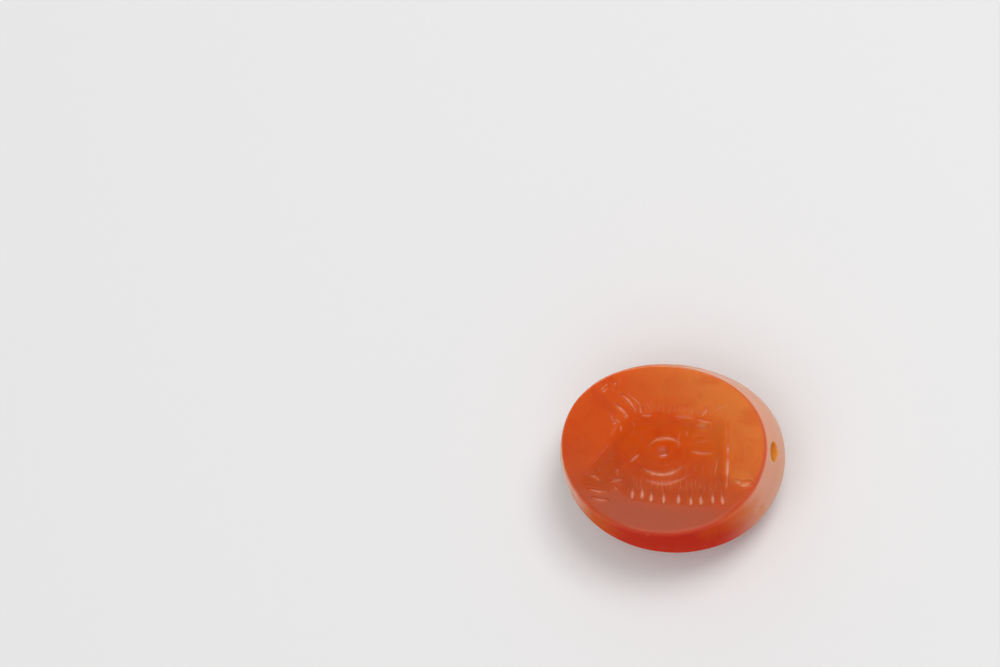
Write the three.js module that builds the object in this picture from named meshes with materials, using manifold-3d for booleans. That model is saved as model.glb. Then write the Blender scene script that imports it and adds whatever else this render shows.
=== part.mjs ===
// An oval stamp seal of translucent orange stone, lying face up. The face is gently convex, and a horned
// animal's head is cut into it. The flank swells a little behind the face and closes in a plain dome, which
// ends in a small flat that the seal lies on. A string hole runs along its length, drilled from both ends.
// Millimetres, +Z up, +X along the length, +Y towards the top of the head, origin in the middle of the flat.

import * as THREE from 'three';
import { mergeVertices } from 'three/addons/utils/BufferGeometryUtils.js';
import Module from 'manifold-3d';

// The stone
const faceLength = 13.6; // edge to edge along X
const faceWidth = 11.05; // edge to edge along Y
const faceCrown = 0.7; // rise of the face above its edge
const girthSwell = 0.6; // how far the girth stands out past the face's edge
const girthDepth = 3.8; // girth below the face's edge
const edgeHeight = 7.5; // the face's edge above the flat
const flatLength = 4.6; // the small flat that the seal lies on, along X
const domePower = 2.3; // 2 is a round dome, more is a fuller one
// The outline's waves off a true oval, ground by eye: cosine and sine shares, from once to four times round.
const outlineWaves = [
  [0.017, 0.0141],
  [-0.0056, -0.0201],
  [0.0035, 0.0081],
  [-0.0068, 0.0033],
];

// The string hole
const holeMouth = 1.4; // diameter at either end
const holeWaist = 1.0; // diameter where the two drillings meet
const holeBelowEdge = 1.32; // its axis below the face's edge

// The carving. Places on the head are in hundredths of its length, from the middle of the face.
const headLength = 9.6; // tip of the muzzle to the cut of the neck
const groundDepth = 0.24; // the sunk shape of the head
const swellDepth = 0.2; // further hollowing of cheek, neck and muzzle
const strokeDepth = 0.17; // a full stroke of the cutting wheel

// The chips
const flakeDepth = 0.12; // flake lost from the face, right of the head
const nickDepth = 0.1; // small nicks in the upper left rim
const flankChipDepth = 0.16; // flat bruise on the lower right flank
const flankChipRadius = 3.2; // of the ball whose surface the bruise follows
const flankChipBearing = -38; // the way from the middle to the bruise, in degrees from +X
const flankChipDrop = 2.09; // the middle of the bruise below the face's edge

// How finely the surfaces are faceted
const facetTolerance = 0.02; // furthest that a facet may stray from the true surface
const shortestFacet = 0.3; // no facet with all its sides under this is parted further
const holeSides = 20;
const netCells = 8; // cells along each side of a starting net, which is a cube's
const flatCells = 1; // cells of the stone's net from the middle of the flat to its edge
const toolClearance = 0.1; // the cutting tools' backs stand this far off the stone

const girthHeight = edgeHeight - girthDepth;
const holeHeight = edgeHeight - holeBelowEdge;
const headUnit = headLength / 100;
const degrees = Math.PI / 180;

// The face's outline, as a share of the plain ellipse at the same angle.
function outlineShare(angle) {
  const wave = ([c, s], k) => c * Math.cos((k + 1) * angle) + s * Math.sin((k + 1) * angle);
  return outlineWaves.reduce((sum, shares, k) => sum + wave(shares, k), 1);
}

// A point of the stone's surface outside the face: at this angle, this far out past the face's edge.
function outlinePoint(angle, outward, shrink = 1) {
  const share = outlineShare(angle) * shrink;
  return [
    (faceLength / 2 + outward) * Math.cos(angle) * share,
    (faceWidth / 2 + outward) * Math.sin(angle) * share,
  ];
}

// 0 in the middle of the face, 1 on its edge.
function faceShare(x, y) {
  const angle = Math.atan2(y / faceWidth, x / faceLength);
  return Math.hypot((2 * x) / faceLength, (2 * y) / faceWidth) / outlineShare(angle);
}

// How a cut's width changes along it, as shares of its full width: pointed at both ends, or ending in a drop.
const boat = [0, 0.9, 1, 0.9, 0];
const drop = [0, 0.55, 0.8, 1.1, 0];

// A cut of the wheel from a to b. bend bows it to the left of its way by that share of its length.
function stroke(a, b, width, depth = 1, bend = 0, shape = boat) {
  const path = shape.map((_, k) => {
    const t = k / (shape.length - 1);
    const bow = bend * 4 * t * (1 - t);
    return [a[0] + t * (b[0] - a[0]) - bow * (b[1] - a[1]), a[1] + t * (b[1] - a[1]) + bow * (b[0] - a[0])];
  });
  return { path, shape, width, depth };
}

// A cut along part of an ellipse, from one angle to another in degrees. A whole turn makes a closed ring.
function arcCut(centre, radii, from, to, width, depth = 1) {
  const closed = to - from === 360;
  const steps = Math.max(6, Math.ceil((to - from) / 26));
  const path = Array.from({ length: closed ? steps : steps + 1 }, (_, k) => {
    const angle = (from + ((to - from) * k) / steps) * degrees;
    return [centre[0] + radii[0] * Math.cos(angle), centre[1] + radii[1] * Math.sin(angle)];
  });
  const shape = path.map((_, k) => (closed ? 1 : Math.min((3 * k) / steps, (3 * (steps - k)) / steps, 1)));
  return { path, shape, width, depth, closed };
}

// Evenly spaced strokes from one line to another, such as the hairs of a mane.
function combed(count, rootFrom, rootTo, tipFrom, tipTo, width, depth, shape = boat) {
  return Array.from({ length: count }, (_, k) => {
    const t = k / (count - 1);
    const between = (p, q) => [p[0] + t * (q[0] - p[0]), p[1] + t * (q[1] - p[1])];
    return stroke(between(rootFrom, rootTo), between(tipFrom, tipTo), width, depth, 0, shape);
  });
}

// The sunk outline of the head: bridge of the nose, brow, mane, neck cut, fringe, throat, lip and muzzle.
const headOutline = [
  [-51, -13], [-31, 8], [-27, 16], [-15, 23], [9, 22], [30, 19.5], [45.5, 19.5], [45, -8], [45.5, -37.5],
  [10, -36], [-21, -32.5], [-29, -23], [-38, -28], [-49, -26.5], [-54, -21], [-54.5, -15],
];

const eye = [1, -1.5];
const nostril = [-48, -21.5];

// Oval hollows: middle, half sizes and depth as a share of the swell.
const hollows = [
  { middle: [-2, -3], half: [25, 19], depth: 1 },
  { middle: [27, -6], half: [22, 26], depth: 0.7 },
  { middle: [-38, -9], half: [13, 11], depth: 0.7 },
];

// Hollows of the round drill, with the depth as a share of a full stroke.
const drillings = [
  { middle: eye, half: [5.4, 3.8], depth: 1.1 },
  { middle: [28, 15.5], half: [4.6, 3], depth: 0.7 },
];

const eyeCuts = [
  arcCut([3, -1.5], [13.2, 9.2], 0, 360, 3.2, 0.9),
  arcCut([1, 1], [20, 17.8], 211, 330, 3.8, 1.2),
  arcCut([2, 2], [27, 25], 228, 322, 3, 0.8),
];

const muzzleCuts = [
  arcCut(nostril, [6, 5], -15, 125, 2.8, 0.9),
  stroke([-51.5, -24], [-34, -27.2], 3, 1.2, -0.1),
  stroke([-48.5, -30.8], [-34, -33.2], 3, 1.2, -0.08),
  ...combed(5, [-33, 0], [-43.5, -11], [-30.5, -5], [-41, -15.5], 1.9, 0.6),
  stroke([-14.5, -2], [-21.5, -8.5], 3.2, 1.2),
  stroke([-35, -19.8], [-24, -20], 2.8, 1.1),
];

const forelockCuts = [
  stroke([-33, 32], [-22, 21.5], 4, 1.3, 0.08),
  stroke([-30, 40], [-16, 25], 3.4, 1.3, 0.08),
  stroke([-24, 39], [-12, 27], 2.8, 1, 0.08),
  stroke([-34.5, 27], [-30.5, 17], 3, 0.8, -0.08),
  stroke([-27.2, 18], [-26.8, 12], 2.6, 1.2),
];

const maneCuts = [
  ...combed(6, [-13, 25], [2, 24], [-15.5, 35], [1, 33.5], 2.2, 0.6),
  ...combed(9, [6, 23.5], [31, 21], [5.5, 31], [32, 27.5], 2.2, 0.55),
  stroke([48, 32], [34, 24], 3.6, 0.9, -0.04),
  stroke([25, 20], [8, 21.5], 2.4, 0.6, -0.05),
];

const earCuts = [
  stroke([24, 20.6], [36.5, 18.2], 2.8, 1.2, -0.06),
  stroke([27, 21.5], [32.5, 29.5], 2.8, 1.2),
  stroke([20, 6.5], [33, 11], 2.2, 0.4, 0.08),
  stroke([21, 3], [34, 5], 2, 0.4, 0.08),
  stroke([19, -1], [37, -2.2], 3, 1.1, -0.05),
];

// The lower ends of the fringe's nine strokes.
const fringe = [
  [-19.2, -32], [-12.5, -32], [-6.1, -34.5], [2.4, -35.7], [12.5, -36.2], [21, -37.3], [27.7, -36.8],
  [35.7, -36.2], [42.4, -36.8],
];

const neckCuts = [
  stroke([45.8, 19], [44.8, -29], 3.6, 1.3, 0.01, [0, 1, 1, 1, 1, 1, 0]),
  stroke([39.8, -2], [36.5, -21], 2.4, 0.9, -0.03),
  ...combed(6, [35, -5], [10, -8], [33, -21], [6, -22], 2, 0.45),
  ...fringe.map(([x, y]) => stroke([0.97 * x, y + 12], [x, y], 3.6, 1.35, 0, drop)),
];

const cuts = [...eyeCuts, ...muzzleCuts, ...forelockCuts, ...maneCuts, ...earCuts, ...neckCuts];

// An oval hollow with a round bottom, 1 in its middle and 0 on its rim.
function bowl({ middle, half }, x, y) {
  const r = Math.hypot((x - middle[0]) / half[0], (y - middle[1]) / half[1]);
  return r < 1 ? 1 - r * r : 0;
}

// Chips in the face: a flake and two nicks in the rim. Their middles are shares of its half length and width.
const faceChips = [
  { place: [0.79, -0.25], half: [0.85, 1.15], depth: flakeDepth },
  { place: [0.775, -0.36], half: [0.56, 0.36], depth: flakeDepth * 0.6 },
  { place: [-0.58, 0.73], half: [0.34, 0.22], depth: nickDepth },
  { place: [-0.47, 0.8], half: [0.22, 0.26], depth: nickDepth },
];

function chippedDepth(x, y) {
  return faceChips.reduce((sum, { place, half, depth }) => {
    const middle = [(place[0] * faceLength) / 2, (place[1] * faceWidth) / 2];
    return sum + depth * bowl({ middle, half }, x, y);
  }, 0);
}

// The face before the carving, with its chips.
function plainHeight(x, y) {
  const share = faceShare(x, y);
  return edgeHeight + faceCrown * (1 - share * share) - chippedDepth(x, y);
}

// The bottom of the sunk shape of the head.
function sunkHeight(x, y) {
  const swells = hollows.map((hollow) => hollow.depth * bowl(hollow, x / headUnit, y / headUnit));
  return plainHeight(x, y) - groundDepth - swellDepth * Math.max(...swells);
}

function insideHead(x, y) {
  return headOutline.reduce((inside, b, k) => {
    const a = headOutline.at(k - 1);
    const crosses = a[1] > y !== b[1] > y && x < a[0] + ((y - a[1]) / (b[1] - a[1])) * (b[0] - a[0]);
    return crosses ? !inside : inside;
  }, false);
}

// Where a point on the surface of the cube from -1 to 1 lies on the stone. The cube's top becomes the face,
// its sides the flank between the face and the girth, and its underside the dome with the flat in its middle.
function stonePoint([u, v, w]) {
  const out = Math.max(Math.abs(u), Math.abs(v));
  const eighth = Math.PI / 4;
  let angle = 0;
  if (out > 0) {
    if (Math.abs(u) >= Math.abs(v)) angle = (eighth * v) / u + (u < 0 ? Math.PI : 0);
    else angle = 2 * eighth - (eighth * u) / v + (v < 0 ? Math.PI : 0);
  }
  if (w >= 1) {
    const [x, y] = outlinePoint(angle, 0, out);
    return [x, y, plainHeight(x, y)];
  }
  if (w > -1) {
    const rise = (w + 1) / 2;
    const rimHeight = plainHeight(...outlinePoint(angle, 0));
    return [
      ...outlinePoint(angle, girthSwell * Math.cos((Math.PI / 2) * rise)),
      girthHeight + rise * (rimHeight - girthHeight),
    ];
  }
  const flatShare = flatLength / (faceLength + 2 * girthSwell);
  const flatRing = (2 * flatCells) / netCells;
  if (out <= flatRing) return [...outlinePoint(angle, girthSwell, (flatShare * out) / flatRing), 0];
  const share = flatShare + (1 - flatShare) * Math.sin((Math.PI / 2) * ((out - flatRing) / (1 - flatRing)));
  const fall = (s) => 1 - Math.max(1 - s ** domePower, 0) ** (1 / domePower);
  return [
    ...outlinePoint(angle, girthSwell, share),
    (girthHeight * (fall(share) - fall(flatShare))) / (1 - fall(flatShare)),
  ];
}

// A closed surface, given by where each point of the cube's surface lies on it. It starts as a coarse net.
// Wherever a triangle strays from the true surface it is halved across its longest side, with its neighbour
// across that side, so that no gap opens.
function fittedSurface(pointAt) {
  const net = bareGeometry(new THREE.BoxGeometry(2, 2, 2, netCells, netCells, 2));
  const places = [];
  const points = [];
  const sharing = new Map();
  const live = new Set();
  const waiting = [];
  const sides = ([a, b, c]) => [[a, b], [b, c], [c, a]];
  const key = ([i, j]) => (i < j ? `${i} ${j}` : `${j} ${i}`);
  const length = ([i, j]) => Math.hypot(...points[i].map((value, axis) => value - points[j][axis]));
  const addPoint = (place) => {
    places.push(place);
    return points.push(pointAt(place)) - 1;
  };
  const addTriangle = (triangle) => {
    live.add(triangle);
    waiting.push(triangle);
    for (const side of sides(triangle)) {
      if (!sharing.has(key(side))) sharing.set(key(side), new Set());
      sharing.get(key(side)).add(triangle);
    }
  };
  const dropTriangle = (triangle) => {
    live.delete(triangle);
    for (const side of sides(triangle)) sharing.get(key(side)).delete(triangle);
  };
  const longer = (p, q) => length(p) - length(q) || (key(p) > key(q) ? 1 : -1);
  const longest = (triangle) => sides(triangle).sort(longer)[2];
  const halve = (triangle) => {
    const parted = longest(triangle);
    const across = () => [...sharing.get(key(parted))].find((other) => other !== triangle);
    while (key(longest(across())) !== key(parted)) halve(across());
    const middle = addPoint(places[parted[0]].map((value, axis) => (value + places[parted[1]][axis]) / 2));
    for (const old of [...sharing.get(key(parted))]) {
      const [a, b] = sides(old).find((side) => key(side) === key(parted));
      const tip = old.find((corner) => corner !== a && corner !== b);
      dropTriangle(old);
      addTriangle([a, middle, tip]);
      addTriangle([middle, b, tip]);
    }
  };
  const strays = (triangle) => {
    const corners = triangle.map((corner) => new THREE.Vector3(...points[corner]));
    const normal = new THREE.Triangle(...corners).getNormal(new THREE.Vector3());
    const steps = Math.max(3, Math.ceil(length(longest(triangle)) / (shortestFacet / 2)));
    for (let a = 0; a < steps; a++) {
      for (let b = a ? 0 : 1; b <= steps - a; b++) {
        const weights = [a / steps, b / steps, (steps - a - b) / steps];
        const along = (axis) => (sum, weight, k) => sum + weight * places[triangle[k]][axis];
        const place = [0, 1, 2].map((axis) => weights.reduce(along(axis), 0));
        const gap = new THREE.Vector3(...pointAt(place)).sub(corners[0]).dot(normal);
        if (Math.abs(gap) > facetTolerance) return true;
      }
    }
    return false;
  };

  const { array } = net.getAttribute('position');
  for (let i = 0; i < array.length; i += 3) addPoint([...array.slice(i, i + 3)]);
  const corners = net.index.array;
  for (let i = 0; i < corners.length; i += 3) addTriangle([...corners.slice(i, i + 3)]);
  while (waiting.length) {
    const triangle = waiting.pop();
    if (live.has(triangle) && length(longest(triangle)) > shortestFacet && strays(triangle)) halve(triangle);
  }

  const geometry = new THREE.BufferGeometry();
  geometry.setAttribute('position', new THREE.Float32BufferAttribute(points.flat(), 3));
  geometry.setIndex([...live].flat());
  return geometry;
}

// The string hole: two tapered drillings that meet in the middle.
function stringHole() {
  const reach = faceLength / 2 + girthSwell;
  const past = 1;
  const mouthRadius = holeMouth / 2 + ((holeMouth - holeWaist) / 2) * (past / reach);
  const profile = [
    new THREE.Vector2(0, -reach - past),
    new THREE.Vector2(mouthRadius, -reach - past),
    new THREE.Vector2(holeWaist / 2, 0),
    new THREE.Vector2(mouthRadius, reach + past),
    new THREE.Vector2(0, reach + past),
  ];
  const hole = new THREE.LatheGeometry(profile, holeSides).rotateZ(-Math.PI / 2);
  return toSolid(hole.translate(0, 0, holeHeight));
}

// The sunk shape of the head: its outline, cut straight down to the hollowed bottom.
function headTool() {
  const corners = headOutline.map(([x, y]) => new THREE.Vector2(x * headUnit, y * headUnit));
  const back = edgeHeight + faceCrown + toolClearance;
  const prism = new THREE.ExtrudeGeometry(new THREE.Shape(corners), { depth: back, bevelEnabled: false });
  const { min, max } = new THREE.Box2().setFromPoints(corners).expandByScalar(headUnit);
  const aboveBottom = fittedSurface(([u, v, w]) => {
    const x = min.x + ((u + 1) / 2) * (max.x - min.x);
    const y = min.y + ((v + 1) / 2) * (max.y - min.y);
    return [x, y, sunkHeight(x, y) + ((w + 1) / 2) * (back + 1 - sunkHeight(x, y))];
  });
  return toSolid(prism).intersect(toSolid(aboveBottom));
}

// The tool for one stroke. Its section is a V below the surface that it cuts, with straight sides above.
function strokeTool({ path, shape, width, depth, closed }) {
  const last = path.length - 1;
  const sectionCorners = 5;
  const points = path.flatMap(([headX, headY], k) => {
    const before = path[closed ? (k + last) % path.length : Math.max(k - 1, 0)];
    const after = path[closed ? (k + 1) % path.length : Math.min(k + 1, last)];
    const run = Math.hypot(after[0] - before[0], after[1] - before[1]);
    const half = (width * headUnit * shape[k]) / 2;
    const across = [(-(after[1] - before[1]) / run) * half, ((after[0] - before[0]) / run) * half];
    const [x, y] = [headX * headUnit, headY * headUnit];
    const back = plainHeight(x, y) + toolClearance;
    const shoulder = (insideHead(headX, headY) ? sunkHeight(x, y) : plainHeight(x, y)) + toolClearance / 2;
    const deepest = shoulder - (toolClearance / 2 + strokeDepth * depth) * Math.min(shape[k], 1);
    return [
      [x + across[0], y + across[1], back],
      [x + across[0], y + across[1], shoulder],
      [x, y, deepest],
      [x - across[0], y - across[1], shoulder],
      [x - across[0], y - across[1], back],
    ];
  });
  const triangles = [];
  const joinSections = (from, to) => {
    for (let k = 0; k < sectionCorners; k++) {
      const [p, q] = [k, (k + 1) % sectionCorners];
      triangles.push(from + q, from + p, to + q, from + p, to + p, to + q);
    }
  };
  for (let k = 1; k <= last; k++) joinSections((k - 1) * sectionCorners, k * sectionCorners);
  if (closed) joinSections(last * sectionCorners, 0);
  const geometry = new THREE.BufferGeometry();
  geometry.setAttribute('position', new THREE.Float32BufferAttribute(points.flat(), 3));
  geometry.setIndex(triangles);
  return toSolid(geometry);
}

// The tool for one hollow of the round drill.
function drillTool({ middle, half, depth }) {
  const [x, y] = middle.map((value) => value * headUnit);
  const ball = new THREE.SphereGeometry(1, 12, 8).rotateX(Math.PI / 2);
  ball.scale(half[0] * headUnit, half[1] * headUnit, strokeDepth * depth);
  return toSolid(ball.translate(x, y, sunkHeight(x, y)));
}

// A large ball that only just reaches into the flank, which leaves a shallow flat bruise.
function flankChip() {
  const [x, y] = outlinePoint(flankChipBearing * degrees, girthSwell);
  const out = 1 + (flankChipRadius - flankChipDepth) / Math.hypot(x, y);
  const ball = new THREE.IcosahedronGeometry(flankChipRadius, 7);
  return toSolid(ball.translate(x * out, y * out, edgeHeight - flankChipDrop));
}

// Position alone, with the vertices that several triangles share merged into one.
function bareGeometry(geometry) {
  for (const name of ['normal', 'uv']) geometry.deleteAttribute(name);
  return mergeVertices(geometry, 1e-4);
}

const wasm = await Module();
wasm.setup();

function toSolid(geometry) {
  const bare = bareGeometry(geometry);
  const corners = bare.index.array;
  const kept = [];
  for (let i = 0; i < corners.length; i += 3) {
    const [a, b, c] = corners.slice(i, i + 3);
    if (a !== b && b !== c && c !== a) kept.push(a, b, c);
  }
  const vertProperties = bare.getAttribute('position').array;
  return new wasm.Manifold(new wasm.Mesh({ numProp: 3, vertProperties, triVerts: new Uint32Array(kept) }));
}

function toGeometry(solid) {
  const { vertProperties, triVerts } = solid.getMesh();
  const geometry = new THREE.BufferGeometry();
  geometry.setAttribute('position', new THREE.Float32BufferAttribute(vertProperties, 3));
  geometry.setIndex(Array.from(triVerts));
  return geometry;
}

const stoneFinish = new THREE.MeshStandardMaterial({ color: '#c9481b', roughness: 0.22, metalness: 0 });

const tools = [headTool(), ...cuts.map(strokeTool), ...drillings.map(drillTool), stringHole(), flankChip()];
const carved = tools.reduce((solid, tool) => solid.subtract(tool), toSolid(fittedSurface(stonePoint)));
const seal = new THREE.Mesh(toGeometry(carved), stoneFinish);
seal.name = 'seal';

const group = new THREE.Group();
group.add(seal);
export default group;
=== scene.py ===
import math

import bpy
import numpy as np
from mathutils import Matrix, Vector


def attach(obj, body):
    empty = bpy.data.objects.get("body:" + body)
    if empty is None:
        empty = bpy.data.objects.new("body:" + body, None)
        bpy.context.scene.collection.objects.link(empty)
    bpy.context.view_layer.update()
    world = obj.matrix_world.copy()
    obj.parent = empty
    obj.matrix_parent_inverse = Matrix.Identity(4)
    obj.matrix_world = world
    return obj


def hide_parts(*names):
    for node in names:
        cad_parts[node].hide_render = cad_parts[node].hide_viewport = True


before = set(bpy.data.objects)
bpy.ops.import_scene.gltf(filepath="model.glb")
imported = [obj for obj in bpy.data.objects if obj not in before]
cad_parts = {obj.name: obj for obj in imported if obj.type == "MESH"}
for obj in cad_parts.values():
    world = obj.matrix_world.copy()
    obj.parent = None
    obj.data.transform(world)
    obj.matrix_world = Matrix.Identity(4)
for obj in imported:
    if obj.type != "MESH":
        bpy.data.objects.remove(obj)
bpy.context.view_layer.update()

mm = 0.001

# sizes of the stone, in millimetres
stone = {
    "faceLength": 13.6,
    "faceWidth": 11.05,
    "faceCrown": 0.7,     # rise of the face above its edge
    "girthSwell": 0.6,    # the girth stands out this far past the face's edge
    "girthDepth": 3.8,    # and lies this far below it
    "edgeHeight": 7.5,
    "flatLength": 4.6,    # the small flat that the stone lies on
    "domePower": 2.3,     # 2 is a round dome, more is a fuller one
    # the outline's waves off a true oval, fitted to its silhouette: cosine and sine shares,
    # once to four times round
    "outlineWaves": [(0.017, 0.0141), (-0.0056, -0.0201), (0.0035, 0.0081), (-0.0068, 0.0033)],
    "holeMouth": 1.4,
    "holeWaist": 1.0,
    "holeBelowEdge": 1.32,
    "rimCrisp": 0.1,      # rounding of the face's edge where it is sharpest
    "rimSoft": 0.34,      # and where it is most worn, below the head
    "cells": 224,         # cells across the face, an even number
    "rimRings": 7,
    "flankRings": 18,
    "domeRings": 15,
    "flatRings": 4,
    "wobble": 0.012,      # hand grinding: the surface wanders by about this much
    "sharpFrom": 48,      # degrees between two faces from which their edge is shaded sharp
}

# the face's edge starts to turn down at this share of the way out
rimStart = 1 - stone["rimRings"] / (stone["cells"] / 2)

# sizes of the carving: places and widths are hundredths of the head's length, depths are millimetres
carving = {
    "headLength": 9.6,
    "ground": 0.24,       # the sunk shape of the head
    "swell": 0.2,         # further hollowing of cheek, neck and muzzle
    "stroke": 0.17,       # a full stroke of the cutting wheel
    "wall": 9.0,          # width of the slope round the sunk shape
}


# the stone's form

def outlineShare(angle):
    return 1 + sum(c * np.cos(k * angle) + s * np.sin(k * angle)
                   for k, (c, s) in enumerate(stone["outlineWaves"], 1))


def outlinePoint(angle, outward, shrink=1.0):
    share = outlineShare(angle) * shrink
    x = (stone["faceLength"] / 2 + outward) * np.cos(angle) * share
    y = (stone["faceWidth"] / 2 + outward) * np.sin(angle) * share
    return x, y


def faceShare(x, y):
    angle = np.arctan2(y / stone["faceWidth"], x / stone["faceLength"])
    return np.hypot(2 * x / stone["faceLength"], 2 * y / stone["faceWidth"]) / outlineShare(angle)


def smooth(t):
    t = np.clip(t, 0, 1)
    return t * t * (3 - 2 * t)


def bowl(x, y, middle, half):
    r = ((x - middle[0]) / half[0]) ** 2 + ((y - middle[1]) / half[1]) ** 2
    return np.clip(1 - r, 0, 1)


def wander(x, y, z):
    # slow unevenness of a surface ground by hand
    waves = [(1.1, 0.4, 0.3, 0.2), (-0.5, 1.3, 0.8, 1.9), (0.7, -0.9, 1.2, 4.1), (1.9, 1.6, -0.7, 2.6),
             (-2.3, 0.8, 1.7, 5.3), (0.6, 2.6, -1.9, 0.9)]
    total = sum(np.sin(a * x + b * y + c * z + phase) / (1 + 0.25 * k)
                for k, (a, b, c, phase) in enumerate(waves))
    return stone["wobble"] * total / 3


# the carving's strokes: how a cut's width changes along it
boat = [0, 0.75, 0.95, 1, 0.95, 0.75, 0]
drop = [0, 0.4, 0.5, 0.65, 0.95, 1.25, 0.9]
chain = [0.2, 0.5, 0.7, 0.6, 1, 0.7, 1.1, 1.2, 0.8, 0.9, 0.3]


def stroke(a, b, width, depth=1.0, bend=0.0, shape=boat):
    path = []
    for k in range(len(shape)):
        t = k / (len(shape) - 1)
        bow = bend * 4 * t * (1 - t)
        path.append((a[0] + t * (b[0] - a[0]) - bow * (b[1] - a[1]),
                     a[1] + t * (b[1] - a[1]) + bow * (b[0] - a[0])))
    return path, shape, width, depth


def arcCut(centre, radii, start, end, width, depth=1.0):
    steps = max(8, math.ceil((end - start) / 10))
    angles = [math.radians(start + (end - start) * k / steps) for k in range(steps + 1)]
    path = [(centre[0] + radii[0] * math.cos(a), centre[1] + radii[1] * math.sin(a)) for a in angles]
    whole = end - start == 360
    shape = [1 if whole else min(3 * k / steps, 3 * (steps - k) / steps, 1) for k in range(steps + 1)]
    return path, shape, width, depth


def combed(count, rootFrom, rootTo, tipFrom, tipTo, width, depth, shape=boat, unruly=0.0, bend=0.0):
    # evenly spaced strokes from one line to another, each a little off by hand
    strokes = []
    for k in range(count):
        t = k / (count - 1)
        off = [unruly * math.sin(7.3 * k + phase) for phase in (0.4, 2.1, 4.4)]
        root = [rootFrom[i] + t * (rootTo[i] - rootFrom[i]) for i in (0, 1)]
        tip = [tipFrom[i] + t * (tipTo[i] - tipFrom[i]) for i in (0, 1)]
        strokes.append(stroke((root[0] + off[0], root[1]), (tip[0] + off[1], tip[1] + off[2]),
                              width, depth, bend, shape))
    return strokes


headOutline = [
    (-51, -13), (-31, 8), (-27, 16), (-15, 23), (9, 22), (30, 19.5), (45.5, 19.5), (45, -8), (45.5, -37.5),
    (10, -36), (-21, -32.5), (-29, -23), (-38, -28), (-49, -26.5), (-54, -21), (-54.5, -15),
]
eye = (1, -1.5)
nostril = (-48, -21.5)

hollows = [((-2, -3), (25, 19), 1.0), ((27, -6), (22, 26), 0.7), ((-38, -9), (13, 11), 0.7)]
drillings = [(eye, (5.4, 3.8), 1.1), ((28, 15.5), (4.6, 3), 0.7)]

eyeCuts = [
    arcCut((3, -1.5), (13.2, 9.2), 0, 360, 2.8, 0.12),
    arcCut((3, -1.5), (13.2, 9.4), 5, 175, 3.6, 1.1),
    arcCut((1, 0), (18, 14.5), 25, 155, 2.4, 0.07),
    arcCut((1, 1), (20, 17.8), 211, 330, 4, 1.2),
    arcCut((2, 2), (27, 25), 228, 322, 3, 0.8),
]
muzzleCuts = [
    arcCut(nostril, (6, 5), -15, 125, 2.8, 0.9),
    stroke((-51.5, -24), (-34, -27.2), 3, 1.2, -0.1),
    stroke((-48.5, -30.8), (-34, -33.2), 3, 1.2, -0.08),
    *combed(5, (-33, 0), (-43.5, -11), (-30.5, -5), (-41, -15.5), 1.8, 0.3),
    stroke((-11, 15), (-27, -10), 2.2, 0.15, 0.08),
    stroke((-14.5, -2), (-21.5, -8.5), 3.2, 1.2),
    stroke((-30, -11), (-29.3, -16), 2.6, 1.1),
    stroke((-35, -19.8), (-24, -20), 2.8, 1.1),
    stroke((-32, -24.6), (-28, -27), 2.6, 1.0),
    stroke((-52, -13.5), (-29.5, 9.5), 2.2, 0.35),
]
forelockCuts = [
    stroke((-33, 32), (-22, 21.5), 4, 1.3, 0.08),
    stroke((-30, 40), (-16, 25), 3.4, 1.3, 0.08),
    stroke((-24, 39), (-12, 27), 2.8, 1.0, 0.08),
    stroke((-34.5, 27), (-30.5, 17), 3, 0.8, -0.08),
    stroke((-31.5, 22), (-27, 18.3), 2.8, 1.0),
    stroke((-33.5, 8), (-29, 16), 2.6, 0.5, 0.08),
    stroke((-27.2, 18), (-26.8, 12), 2.6, 1.2),
    stroke((-14.5, 29.5), (-12.8, 25.5), 2.4, 1.0),
    stroke((-14, 24.2), (-4.5, 24), 2.6, 0.8, -0.1),
    stroke((-19, 20), (-17, 14), 2.0, 0.5),
]
foreheadCuts = combed(6, (-22, 9), (-9, -2), (-17, 15), (-5, 6), 1.3, 0.3, unruly=0.5)
maneCuts = [
    *combed(6, (-13, 25), (2, 24), (-15.5, 35), (1, 33.5), 2.3, 0.4, unruly=0.6),
    *combed(9, (6, 23.5), (31, 21), (5.5, 31), (32, 27.5), 2.2, 0.35, unruly=0.6),
    stroke((48, 32), (34, 24), 2.6, 0.25, -0.04),
    stroke((25, 20), (8, 21.5), 2.4, 0.6, -0.05),
]
earCuts = [
    stroke((24, 20.6), (36.5, 18.2), 2.8, 1.2, -0.06),
    stroke((27, 21.5), (32.5, 29.5), 2.8, 1.2),
    arcCut((18, 5.5), (6, 7.5), 110, 250, 2.2, 0.45),
    stroke((18.6, 13.5), (18.2, 8), 1.8, 0.8),
    stroke((20, 6.5), (33, 11), 2.2, 0.25, 0.08),
    stroke((21, 3), (34, 5), 2.0, 0.25, 0.08),
    stroke((19, -1), (37, -2.2), 3, 1.1, -0.05),
]
# lower ends of the fringe's nine strokes
fringe = [(-19.2, -32), (-12.5, -32), (-6.1, -34.5), (2.4, -35.7), (12.5, -36.2), (21, -37.3), (27.7, -36.8),
          (35.7, -36.2), (42.4, -36.8)]
neckCuts = [
    stroke((45.8, 19), (44.8, -29), 3.4, 1.4, 0.01, chain),
    stroke((39.8, -2), (36.5, -21), 2.4, 0.9, -0.03),
    *combed(6, (35, -5), (10, -8), (33, -21), (6, -22), 2.0, 0.3, unruly=0.5),
    *combed(19, (40, -18), (-18, -17), (41, -32), (-20, -28), 2.2, 0.35, unruly=0.9),
    *(stroke((0.97 * x, y + 12), (x, y), 3.7, 1.35, shape=drop) for x, y in fringe),
]
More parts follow.
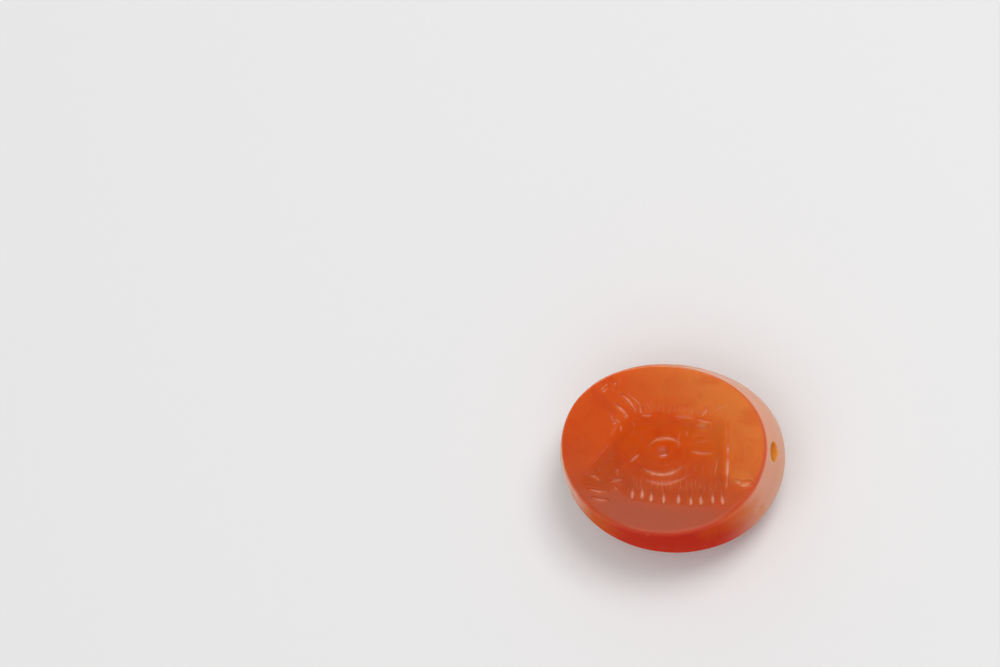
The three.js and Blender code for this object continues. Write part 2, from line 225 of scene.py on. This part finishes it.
# bruised lip of the flake right of the head, and fine scratches at the upper left
scars = [
    stroke((50, -21.5), (56.5, -24), 5, 1.3),
    stroke((53, -24), (61.5, -21.5), 6, 1.7, -0.12),
    stroke((-29, 50), (-29.3, 44), 1.5, 0.3),
    stroke((-34.8, 44), (-32.5, 41.5), 2, 0.3),
    stroke((-42.5, 42), (-37, 46.5), 1.4, 0.28),
    stroke((-40, 40.8), (-37.5, 43.2), 1.4, 0.28),
    stroke((-33, 47.5), (-31.3, 46.3), 1.4, 0.28),
]
cuts = scars + eyeCuts + muzzleCuts + forelockCuts + foreheadCuts + maneCuts + earCuts + neckCuts


def roundedCorners(corners, times=3):
    for _ in range(times):
        following = corners[1:] + corners[:1]
        corners = [point for a, b in zip(corners, following)
                   for point in ((0.75 * a[0] + 0.25 * b[0], 0.75 * a[1] + 0.25 * b[1]),
                                 (0.25 * a[0] + 0.75 * b[0], 0.25 * a[1] + 0.75 * b[1]))]
    return corners


def toSegment(x, y, a, b):
    dx, dy = b[0] - a[0], b[1] - a[1]
    along = np.clip(((x - a[0]) * dx + (y - a[1]) * dy) / (dx * dx + dy * dy + 1e-12), 0, 1)
    return np.hypot(x - a[0] - along * dx, y - a[1] - along * dy), along


def insideBy(x, y, corners):
    # distance inside a closed outline, negative outside
    nearest = np.full(x.shape, 1e9)
    inside = np.zeros(x.shape, bool)
    for a, b in zip(corners, corners[1:] + corners[:1]):
        nearest = np.minimum(nearest, toSegment(x, y, a, b)[0])
        crosses = (a[1] > y) != (b[1] > y)
        slope = (b[0] - a[0]) / (b[1] - a[1]) if b[1] != a[1] else 0
        inside ^= crosses & (x < a[0] + (y - a[1]) * slope)
    return np.where(inside, nearest, -nearest)


def carvedDepth(px, py):
    # depth of the carving under the face in millimetres, how frosted the cuts are,
    # and where the ground between them is dull
    unit = carving["headLength"] / 100
    x, y = px / unit, py / unit
    inside = insideBy(x, y, roundedCorners(headOutline))
    sunk = smooth(inside / carving["wall"] + 0.25)
    swell = np.zeros(x.shape)
    for middle, half, depth in hollows:
        swell = np.maximum(swell, depth * bowl(x, y, middle, half))
    strokes, frosted = np.zeros(x.shape), np.zeros(x.shape)
    for path, shape, width, depth in cuts:
        xs, ys = [p[0] for p in path], [p[1] for p in path]
        near = (x > min(xs) - width) & (x < max(xs) + width) & (y > min(ys) - width) & (y < max(ys) + width)
        nearX, nearY = x[near], y[near]
        deepest = np.zeros(nearX.shape)
        for k in range(len(path) - 1):
            distance, along = toSegment(nearX, nearY, path[k], path[k + 1])
            full = shape[k] + along * (shape[k + 1] - shape[k])
            across = 2 * distance / (width * np.maximum(full, 0.05))
            deepest = np.maximum(deepest, np.clip(1 - across ** 2, 0, 1) * np.minimum(full, 1))
        strokes[near] = np.maximum(strokes[near], deepest * depth)
        frosted[near] = np.maximum(frosted[near], deepest * math.sqrt(depth))
    for middle, half, depth in drillings:
        drilled = depth * bowl(x, y, middle, half) ** 0.8
        strokes, frosted = np.maximum(strokes, drilled), np.maximum(frosted, 0.4 * drilled)
    depth = sunk * (carving["ground"] + carving["swell"] * swell) + carving["stroke"] * strokes
    return depth, frosted, smooth(inside / 3 + 1.2) * np.clip(1 - 1.5 * strokes, 0, 1)


# damage: flakes and nicks as shallow hollows, middles as shares of the face's half length and half width
damage = [
    {"place": (0.79, -0.25), "half": (0.85, 1.15), "depth": 0.1, "turn": -14, "lean": 0.8},
    {"place": (0.775, -0.36), "half": (0.56, 0.36), "depth": 0.07, "turn": -4, "lean": 0.7},
    {"place": (0.815, -0.4), "half": (0.42, 0.18), "depth": 0.12, "turn": 6, "lean": 0},
    {"place": (0.87, -0.2), "half": (0.35, 0.6), "depth": 0.04, "turn": -20, "lean": 0.3},
    {"place": (-0.58, 0.73), "half": (0.3, 0.2), "depth": 0.03, "turn": 35, "lean": 0},
    {"place": (-0.47, 0.8), "half": (0.2, 0.24), "depth": 0.03, "turn": 10, "lean": 0},
    {"place": (-0.985, 0.0), "half": (0.09, 0.12), "depth": 0.08, "turn": 0, "lean": 0},
    {"place": (-0.13, -0.985), "half": (0.2, 0.07), "depth": 0.04, "turn": 5, "lean": 0},
    {"place": (0.6, 0.79), "half": (0.22, 0.06), "depth": 0.03, "turn": -40, "lean": 0},
]
# a flat bruise on the lower right of the flank, which follows a large ball
bruise = {"bearing": -38, "radius": 3.2, "depth": 0.16, "belowEdge": 2.09, "fresh": 0.05}


def damageDepth(x, y):
    total = np.zeros(x.shape)
    for flake in damage:
        mx, my = flake["place"][0] * stone["faceLength"] / 2, flake["place"][1] * stone["faceWidth"] / 2
        turn = math.radians(flake["turn"])
        dx, dy = x - mx, y - my
        along, across = dx * math.cos(turn) + dy * math.sin(turn), dy * math.cos(turn) - dx * math.sin(turn)
        bearing = np.arctan2(across / flake["half"][1], along / flake["half"][0])
        ragged = 1 + 0.1 * np.sin(3 * bearing + 7 * mx) + 0.06 * np.sin(7 * bearing + 3 * my)
        deep = bowl(along * ragged, across * ragged, (0, 0), flake["half"])
        # a leaning flake starts from nothing above and ends in a step below
        lean = 1 - flake["lean"] * smooth(0.5 + 0.6 * across / flake["half"][1])
        ripples = 1 + 0.1 * np.sin(9 * np.hypot(along, across - flake["half"][1]))
        total = np.maximum(total, flake["depth"] * np.sqrt(deep) * lean * ripples)
    return total


def rimRadius(angle):
    # the edge is sharp at the upper right and worn round below
    worn = smooth(0.5 - 0.62 * np.sin(angle - 0.35))
    return stone["rimCrisp"] + (stone["rimSoft"] - stone["rimCrisp"]) * worn


def flankPoint(angle, depth):
    outward = stone["girthSwell"] * np.sin(math.pi / 2 * depth / stone["girthDepth"])
    x, y = outlinePoint(angle, outward)
    return np.stack([x, y, stone["edgeHeight"] - depth + 0 * x], -1)


def faceTop(x, y):
    return stone["edgeHeight"] + stone["faceCrown"] * (1 - faceShare(x, y) ** 2)


def facePoints(angle, out):
    # out runs from 0 in the middle of the face to 1 at the lower end of its rounded edge
    rounding = rimRadius(angle)
    inner = 1 - rounding / np.hypot(*outlinePoint(angle, 0))
    share = inner * np.clip(out / rimStart, 0, 1)
    x, y = outlinePoint(angle, 0, share)
    flat = np.stack([x, y, faceTop(x, y)], -1)
    cornerX, cornerY = outlinePoint(angle, 0)
    corner = np.stack([cornerX, cornerY, stone["edgeHeight"] + 0 * cornerX], -1)
    lower = flankPoint(angle, rounding)
    u = np.clip((out - rimStart) / (1 - rimStart), 0, 1)[..., None]
    return (1 - u) ** 2 * flat + 2 * u * (1 - u) * corner + u ** 2 * lower


def squareToDisc(u, v):
    out = np.maximum(np.abs(u), np.abs(v))
    wide = np.abs(u) >= np.abs(v)
    safeU, safeV = np.where(np.abs(u) < 1e-12, 1, u), np.where(np.abs(v) < 1e-12, 1, v)
    angle = np.where(wide, math.pi / 4 * v / safeU + np.where(u < 0, math.pi, 0),
                     math.pi / 2 - math.pi / 4 * u / safeV + np.where(v < 0, math.pi, 0))
    return out, np.where(out < 1e-12, 0, angle)


def makeStone():
    cells = stone["cells"]
    steps = np.linspace(-1, 1, cells + 1)
    u, v = np.meshgrid(steps, steps)
    out, angle = squareToDisc(u.ravel(), v.ravel())
    face = facePoints(angle, out)
    chipped = damageDepth(face[:, 0], face[:, 1])
    cut, frosted, dull = carvedDepth(face[:, 0], face[:, 1])
    face[:, 2] -= cut + chipped
    index = np.arange((cells + 1) ** 2).reshape(cells + 1, cells + 1)
    quads = [np.stack([index[:-1, :-1], index[:-1, 1:], index[1:, 1:], index[1:, :-1]], -1).reshape(-1, 4)]

    # the rim's vertices in order round the stone, then rings down the flank, the dome and the flat
    rim = np.concatenate([index[0, :-1], index[:-1, -1], index[-1, :0:-1], index[:0:-1, 0]])
    rimAngle = angle[rim]
    rimDrop = chipped[rim]
    vertices = [face]
    upperSide = 1 - smooth((out - rimStart) / (1 - rimStart))
    marks = [np.stack([frosted, chipped, dull, upperSide], -1)]
    count = len(face)
    previous = rim

    def addRing(points):
        nonlocal count, previous
        ring = count + np.arange(len(rim))
        vertices.append(points)
        marks.append(np.zeros((len(points), 4)))
        quads.append(np.stack([previous, ring, np.roll(ring, -1), np.roll(previous, -1)], -1))
        count += len(rim)
        previous = ring

    start = rimRadius(rimAngle)
    for k in range(1, stone["flankRings"] + 1):
        # the rings lie closer near the edge, and a chip in it fades out down the flank
        t = k / stone["flankRings"]
        depth = start + (stone["girthDepth"] - start) * (0.35 * t + 0.65 * t * t)
        points = flankPoint(rimAngle, depth)
        points[:, 2] -= rimDrop * np.clip(1 - 2.2 * (depth - start), 0, 1)
        addRing(points)
    girthHeight = stone["edgeHeight"] - stone["girthDepth"]
    flatShare = stone["flatLength"] / (stone["faceLength"] + 2 * stone["girthSwell"])

    def fall(share):
        return 1 - max(1 - share ** stone["domePower"], 0) ** (1 / stone["domePower"])

    for k in range(1, stone["domeRings"] + 1):
        share = flatShare + (1 - flatShare) * math.cos(math.pi / 2 * k / stone["domeRings"])
        x, y = outlinePoint(rimAngle, stone["girthSwell"], share)
        height = girthHeight * (fall(share) - fall(flatShare)) / (1 - fall(flatShare))
        addRing(np.stack([x, y, 0 * x + height], -1))
    for k in range(1, stone["flatRings"]):
        share = flatShare * (1 - k / stone["flatRings"])
        x, y = outlinePoint(rimAngle, stone["girthSwell"], share)
        addRing(np.stack([x, y, 0 * x], -1))
    vertices.append(np.zeros((1, 3)))
    marks.append(np.zeros((1, 4)))
    fan = np.stack([previous, np.full(len(rim), count), np.roll(previous, -1)], -1)

    points = np.concatenate(vertices)
    # the grinding's unevenness fades out at the flat, and only ever takes stone away
    z = points[:, 2]
    lifted = smooth((z - 0.15) / 1.2)
    away = (wander(*points.T) + 0.8 * stone["wobble"]) * lifted
    middle = np.array([0, 0, girthHeight])
    towards = middle - points
    towards /= np.maximum(np.linalg.norm(towards, axis=1), 1e-6)[:, None]
    points += towards * np.maximum(away, 0)[:, None]

    ballX, ballY = outlinePoint(np.array(math.radians(bruise["bearing"])), stone["girthSwell"])
    reach = 1 + (bruise["radius"] - bruise["depth"]) / math.hypot(ballX, ballY)
    ball = np.array([ballX * reach, ballY * reach, stone["edgeHeight"] - bruise["belowEdge"]])
    toBall = ball - points
    far = np.linalg.norm(toBall, axis=1)
    hit = far < bruise["radius"]
    points[hit] = ball - toBall[hit] / far[hit][:, None] * bruise["radius"]
    marks = np.concatenate(marks)
    marks[hit, 1] = bruise["fresh"]

    mesh = bpy.data.meshes.new("seal_stone")
    mesh.from_pydata((points * mm).tolist(), [], np.concatenate(quads).tolist() + fan.tolist())
    for column, name in enumerate(("cut", "chipped", "dull", "face")):
        mark = mesh.attributes.new(name, "FLOAT", "POINT")
        mark.data.foreach_set("value", marks[:, column].astype(np.float32))
    mesh.validate()
    piece = bpy.data.objects.new("seal_stone", mesh)
    bpy.context.scene.collection.objects.link(piece)
    return piece


# the string hole's finer form, in millimetres
bore = {
    "sides": 72,
    "meeting": 0.25,      # the hole is narrowest this far from the middle
    "meetingWider": 0.03, # and wider by this where the two drillings meet
    "groove": 0.012,      # the drill's marks, as a share of the radius
    "grooveFrom": 0.3,    # they start this far from the middle
    "grooveUntil": 0.4,   # and end this far in from the girth
    # how the mouths are worn: distance in from the girth, and what that adds to the mouth's radius
    "mouthWear": [(0.5, -0.06), (0.28, -0.03), (0.12, 0.0), (0.02, 0.05), (-0.1, 0.12), (-0.6, 0.14)],
}


def makeDrill():
    # two tapered drillings that meet in the middle, with their mouths worn open
    reach = stone["faceLength"] / 2 + stone["girthSwell"]
    mouth, waist = stone["holeMouth"] / 2, stone["holeWaist"] / 2
    worn = [(reach - inward, mouth + wider) for inward, wider in bore["mouthWear"]]
    half = [(0.0, waist + bore["meetingWider"]), (bore["meeting"], waist), *worn]
    profile = [(-x, r) for x, r in reversed(half[1:])] + half
    sides = bore["sides"]
    axisHeight = stone["edgeHeight"] - stone["holeBelowEdge"]
    vertices, faces = [], []
    for k, (x, r) in enumerate(profile):
        marked = bore["grooveFrom"] < abs(x) < reach - bore["grooveUntil"]
        for s in range(sides):
            a = 2 * math.pi * s / sides
            grooved = r * (1 + bore["groove"] * math.sin(5 * a + 9 * x) * marked)
            y, z = grooved * math.cos(a), axisHeight + grooved * math.sin(a)
            vertices.append((x * mm, y * mm, z * mm))
            if k:
                low, high = (k - 1) * sides, k * sides
                faces.append((low + s, low + (s + 1) % sides, high + (s + 1) % sides, high + s))
    faces.append(tuple(range(sides))[::-1])
    faces.append(tuple(range((len(profile) - 1) * sides, len(profile) * sides)))
    mesh = bpy.data.meshes.new("drill")
    mesh.from_pydata(vertices, [], faces)
    mesh.attributes.new("bored", "FLOAT", "POINT").data.foreach_set("value", [1.0] * len(vertices))
    mesh.validate()
    drill = bpy.data.objects.new("drill", mesh)
    bpy.context.scene.collection.objects.link(drill)
    return drill


def drillThrough(piece, drill):
    cut = piece.modifiers.new("string hole", "BOOLEAN")
    cut.operation = "DIFFERENCE"
    cut.solver = "MANIFOLD"
    cut.object = drill
    drilled = bpy.data.meshes.new_from_object(piece.evaluated_get(bpy.context.evaluated_depsgraph_get()))
    piece.modifiers.clear()
    old = piece.data
    piece.data = drilled
    bpy.data.meshes.remove(old)
    drilled.name = "seal_stone"
    bpy.data.objects.remove(drill)
    drilled.shade_smooth()
    drilled.set_sharp_from_angle(angle=math.radians(stone["sharpFrom"]))


piece = makeStone()
print("stone shaped:", len(piece.data.vertices), "vertices")
drillThrough(piece, makeDrill())
print("string hole drilled:", len(piece.data.polygons), "faces")


# finishes

class Value:
    # an output of a node, on which plain arithmetic adds Math nodes
    def __init__(self, finish, socket):
        self.finish, self.socket = finish, socket

    def reckon(self, operation, first, second):
        return self.finish.add("ShaderNodeMath", {"operation": operation}, {0: first, 1: second})

    def __add__(self, other):
        return self.reckon("ADD", self, other)

    def __sub__(self, other):
        return self.reckon("SUBTRACT", self, other)

    def __rsub__(self, other):
        return self.reckon("SUBTRACT", other, self)

    def __mul__(self, other):
        return self.reckon("MULTIPLY", self, other)

    __radd__ = __add__
    __rmul__ = __mul__


class Finish:
    def __init__(self, name):
        self.material = bpy.data.materials.new(name)
        self.material.use_nodes = True
        self.nodes = self.material.node_tree.nodes
        self.links = self.material.node_tree.links
        self.shader = self.nodes["Principled BSDF"]

    def feed(self, socket, value):
        if isinstance(value, Value):
            self.links.new(value.socket, socket)
        else:
            socket.default_value = value

    def add(self, kind, settings=None, sockets=None, output=0):
        node = self.nodes.new(kind)
        for name, value in (settings or {}).items():
            setattr(node, name, value)
        for name, value in (sockets or {}).items():
            self.feed(node.inputs[name], value)
        return Value(self, node.outputs[output])

    def set(self, name, value):
        self.feed(self.shader.inputs[name], value)


look = {
    "body": (0.63, 0.086, 0.004, 1),       # middle of the stone
    "glow": (0.66, 0.192, 0.030, 1),       # its lighter zone, at the right end and along the top
    "deep": (0.50, 0.036, 0.003, 1),       # veils of deeper red; also painted shade in the sunk head and along the crisp edge
    "lowerFaceShade": (0.44, 0.076, 0.020, 1),       # painted shade: the duller, darker lower part of the face
    "frontFlankShade": (0.53, 0.015, 0.001, 1),      # painted shade: deep red on the front of the flank
    "endSkinAndSheen": (0.72, 0.345, 0.245, 1),       # paler skin on the ends of the flank, lightened further as a painted reflection
    "fresh": (0.70, 0.230, 0.030, 1),      # inside the flakes
    "frost": (0.83, 0.350, 0.180, 1),      # cut strokes, not polished out
    "powderAndGlint": (0.92, 0.660, 0.500, 1),     # the floor of the deepest of them, partly frost and partly a painted glint; also a painted highlight on the left end
    "bore": (0.74, 0.275, 0.040, 1),       # inside the string hole
    "scatterDepth": 0.0024,
    "scatterColours": (1.0, 0.28, 0.09),
}

# how strongly each layer lies over the ones before it
layers = {
    "veils": 0.3,
    # painted shade in the sunk head
    "sunkHeadShade": 0.22,
    # painted shade line along the crisp edge
    "crispEdgeShade": 2.8,
    "frost": 0.6,
    "powderAndGlint": 0.5,
    "fresh": 0.5,
}

# roughness of the surface, and weights of the clear coat over it
polish = {
    "roughness": 0.2,
    "scratchHeight": 0.02,   # millimetres
    "coatLeast": 0.08,
    "coatFace": 0.52,
    "dullHead": 0.33,        # taken off the upper part of the sunk head
    "dullGround": 0.15,      # and off all of it
    "coatEnds": 0.24,
    "coatLeftEnd": 0.35,
    "coatRoughness": 0.18,
    "coatIndex": 1.54,
}

# where each zone of the stone begins and is complete, in millimetres along the way that carnelian() gives
zones = {
    "glow": (0.0, 8.0),
    # painted shade on the lower part of the face
    "lowerFaceShade": (-1.0, 5.0),
    # the ends of the flank, painted paler as a reflection, and better polished
    "leftEnd": (4.2, 7.8),
    "ends": (0.5, 7.2),
    # painted shade on the front of the flank
    "frontFlankShade": (3.6, 5.7),
    # painted shade line along the crisp edge
    "crispEdgeShade": (1.0, 5.0),
    "polished": (7.0, 7.6),
    "dullHead": (-3.6, 0.6),
}


def carnelian():
    finish = Finish("carnelian")
    place = finish.add("ShaderNodeTexCoord", output=3)
    x, y, z = (finish.add("ShaderNodeSeparateXYZ", {}, {0: place}, output=k) for k in range(3))

    def noise(scale, detail, **more):
        sockets = {"Vector": place, "Scale": scale, "Detail": detail, **more}
        return finish.add("ShaderNodeTexNoise", {}, sockets)

    clouds, veils = noise(260, 3, Roughness=0.5), noise(520, 5, Distortion=1.4)
    grains, wear, scratches = noise(2600, 3, Roughness=0.6), noise(1400, 4), noise(5200, 3)
    cut, chipped, dull, onFace, bored = (
        finish.add("ShaderNodeAttribute", {"attribute_name": name}, output=2)
        for name in ("cut", "chipped", "dull", "face", "bored"))

    def between(value, low, high):
        settings = {"interpolation_type": "SMOOTHSTEP"}
        return finish.add("ShaderNodeMapRange", settings, {0: value, 1: low, 2: high})

    def zone(name, way):
        low, high = zones[name]
        return between(way, low * mm, high * mm)

    def mixed(share, first, second):
        return finish.add("ShaderNodeMix", {"data_type": "RGBA"}, {0: share, 6: first, 7: second}, 2)

    drift = (clouds - 0.5) * 0.004
    onFlank = 1 - onFace
    colour = mixed(zone("glow", x + y * 0.8 + drift), look["body"], look["glow"])
    # veils of red, and painted shade in the sunk head, which looks a little redder than the ground round it
    veilsAndShade = between(veils, 0.42, 0.75) * layers["veils"] + dull * layers["sunkHeadShade"]
    colour = mixed(veilsAndShade, colour, look["deep"])
    # painted shade: the lower part of the face is mixed darker
    colour = mixed(zone("lowerFaceShade", y * -1 + x * -0.15 + drift) * onFace, colour, look["lowerFaceShade"])
    # the ends of the flank are painted paler, a painted reflection over a paler skin; its front is painted
    # deep red as shade
    leftEnd = zone("leftEnd", x * -1 + drift * 1.4)
    ends = zone("ends", x + y * 0.5 + drift * 1.6) + leftEnd
    # painted shade: the front of the flank is mixed deep red
    colour = mixed(zone("frontFlankShade", y * -1 + drift) * onFlank, colour, look["frontFlankShade"])
    colour = mixed(ends * onFlank * (clouds * 0.5 + 0.5), colour, look["endSkinAndSheen"])
    # painted highlight: a whiter line along the left end of the flank
    colour = mixed(leftEnd * onFlank * (veils * 0.5 + 0.1), colour, look["powderAndGlint"])
    # painted shade: the crisp edge at the upper right shows as a thin dark line
    edge = onFace * onFlank * zone("crispEdgeShade", x + y * 0.6)
    colour = mixed(edge * layers["crispEdgeShade"], colour, look["deep"])
    frost = between(cut + (grains - 0.5) * 0.5, 0.2, 1.25)
    colour = mixed(frost * layers["frost"], colour, look["frost"])
    # the deepest cuts get a paler floor, partly frost and partly a painted glint
    deepest = between(cut + (grains - 0.5) * 0.4, 0.95, 1.2)
    colour = mixed(deepest * layers["powderAndGlint"], colour, look["powderAndGlint"])
    fresh = between(chipped, 0.0, 0.1)
    colour = mixed(fresh * layers["fresh"], colour, look["fresh"])
    finish.set("Base Color", mixed(bored, colour, look["bore"]))

    finish.set("Roughness", polish["roughness"] + (wear - 0.5) * 0.12 + frost * 0.16 + fresh * 0.1)
    bumps = {"Strength": 0.06, "Distance": polish["scratchHeight"] * mm, "Height": scratches}
    finish.set("Normal", finish.add("ShaderNodeBump", {}, bumps))
    # the polish is best on the face, its edge and the ends, and dull on the rest of the flank
    polished = zone("polished", z) * polish["coatFace"]
    dulled = dull * (zone("dullHead", y) * polish["dullHead"] + polish["dullGround"])
    endPolish = (ends * polish["coatEnds"] + leftEnd * polish["coatLeftEnd"]) * onFlank
    finish.set("Specular IOR Level", 0.0)
    finish.set("Coat Weight", (polish["coatLeast"] + polished - dulled + endPolish) * (1 - bored))
    finish.set("Coat Roughness", polish["coatRoughness"])
    finish.set("Coat IOR", polish["coatIndex"])
    finish.set("Subsurface Weight", 1.0)
    finish.set("Subsurface Radius", look["scatterColours"])
    finish.set("Subsurface Scale", look["scatterDepth"])
    return finish.material


piece.data.materials.clear()
piece.data.materials.append(carnelian())
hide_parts("seal")
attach(piece, "root")
print("finish set")

# floor, light and camera
studio = {
    "floorSize": 3.0,
    "floorColour": (0.80, 0.795, 0.79, 1),
    "floorRoughness": 0.8,
    "surround": 0.37,
    "surroundTint": (0.97, 0.98, 1.0, 1),
    "aim": (0, 0, 0.005),  # all lights look at the middle of the stone
}

# places and sizes in metres, powers in watts
lights = {
    # soft, from the upper right, and not mirrored in the stone
    "key": {"place": (0.15, 0.14, 0.45), "size": (0.17, 0.17), "power": 1.02, "mirrored": False},
    # wide and high, not mirrored either
    "ceiling": {"place": (0.0, 0.0, 1.05), "size": (1.0, 1.0), "power": 2.45, "mirrored": False},
    # the sheen over the lower half of the face
    "card": {"place": (-0.055, -0.195, 0.445), "size": (0.5, 0.26), "power": 0.38},
    # the sheen on its worn lower edge
    "front": {"place": (-0.05, -0.44, 0.3), "size": (0.5, 0.32), "power": 0.8, "lights": False},
    # low behind the head, seen only as glints in the cuts
    "rim": {"place": (-0.2, 0.52, 0.2), "size": (0.55, 0.22), "power": 2.7, "lights": False},
}


def paleFloor():
    finish = Finish("pale paper")
    finish.set("Base Color", studio["floorColour"])
    finish.set("Roughness", studio["floorRoughness"])
    return finish.material


def makeFloor():
    half = studio["floorSize"] / 2
    mesh = bpy.data.meshes.new("floor")
    corners = [(-half, -half, 0), (half, -half, 0), (half, half, 0), (-half, half, 0)]
    mesh.from_pydata(corners, [], [(0, 1, 2, 3)])
    mesh.materials.append(paleFloor())
    floor = bpy.data.objects.new("floor", mesh)
    bpy.context.scene.collection.objects.link(floor)


def makeLight(name, place, size, power, mirrored=True, lights=True):
    data = bpy.data.lights.new(name, "AREA")
    data.shape, data.size, data.size_y = "RECTANGLE", size[0], size[1]
    data.energy = power
    light = bpy.data.objects.new(name, data)
    light.location = place
    light.rotation_euler = (Vector(studio["aim"]) - Vector(place)).to_track_quat("-Z", "Y").to_euler()
    light.visible_glossy, light.visible_diffuse = mirrored, lights
    bpy.context.scene.collection.objects.link(light)


view = {
    "turn": 10.0,          # the camera stands this far to the right of straight over the face, in degrees
    "lift": 9.0,           # and this far below it
    "roll": -0.6,
    "distance": 0.42,
    "picture": (1000, 667),
    "pixelsPerMetre": 15500,
    "target": (661.2, 450.3),  # where the middle of the face's edge plane falls in the picture
    "sensor": 36,
}


def makeCamera():
    turn, lift, roll = (math.radians(view[name]) for name in ("turn", "lift", "roll"))
    back = Vector((math.sin(turn) * math.cos(lift), -math.sin(lift), math.cos(turn) * math.cos(lift)))
    right = Vector((math.cos(turn), 0, -math.sin(turn)))
    up = back.cross(right)
    right, up = (right * math.cos(roll) - up * math.sin(roll)), (right * math.sin(roll) + up * math.cos(roll))
    aim = Vector((0, 0, stone["edgeHeight"] * mm))
    across, down = ((view["target"][k] - view["picture"][k] / 2) / view["pixelsPerMetre"] for k in (0, 1))
    forward = (-back * view["distance"] - right * across + up * down).normalized()
    right = (right - forward * right.dot(forward)).normalized()
    up = right.cross(forward)
    data = bpy.data.cameras.new("camera")
    data.sensor_width = view["sensor"]
    data.lens = view["sensor"] * view["distance"] * view["pixelsPerMetre"] / view["picture"][0]
    data.clip_start, data.clip_end = 0.01, 10
    camera = bpy.data.objects.new("camera", data)
    basis = Matrix((right, up, -forward)).transposed().to_4x4()
    camera.matrix_world = Matrix.Translation(aim + back * view["distance"]) @ basis
    bpy.context.scene.collection.objects.link(camera)
    bpy.context.scene.camera = camera


makeFloor()
for name, light in lights.items():
    makeLight(name, **light)
makeCamera()
world = bpy.data.worlds.new("surround")
bpy.context.scene.world = world
world.use_nodes = True
world.node_tree.nodes["Background"].inputs["Color"].default_value = studio["surroundTint"]
world.node_tree.nodes["Background"].inputs["Strength"].default_value = studio["surround"]
bpy.context.scene.view_settings.view_transform = "Standard"
print("light and camera set")
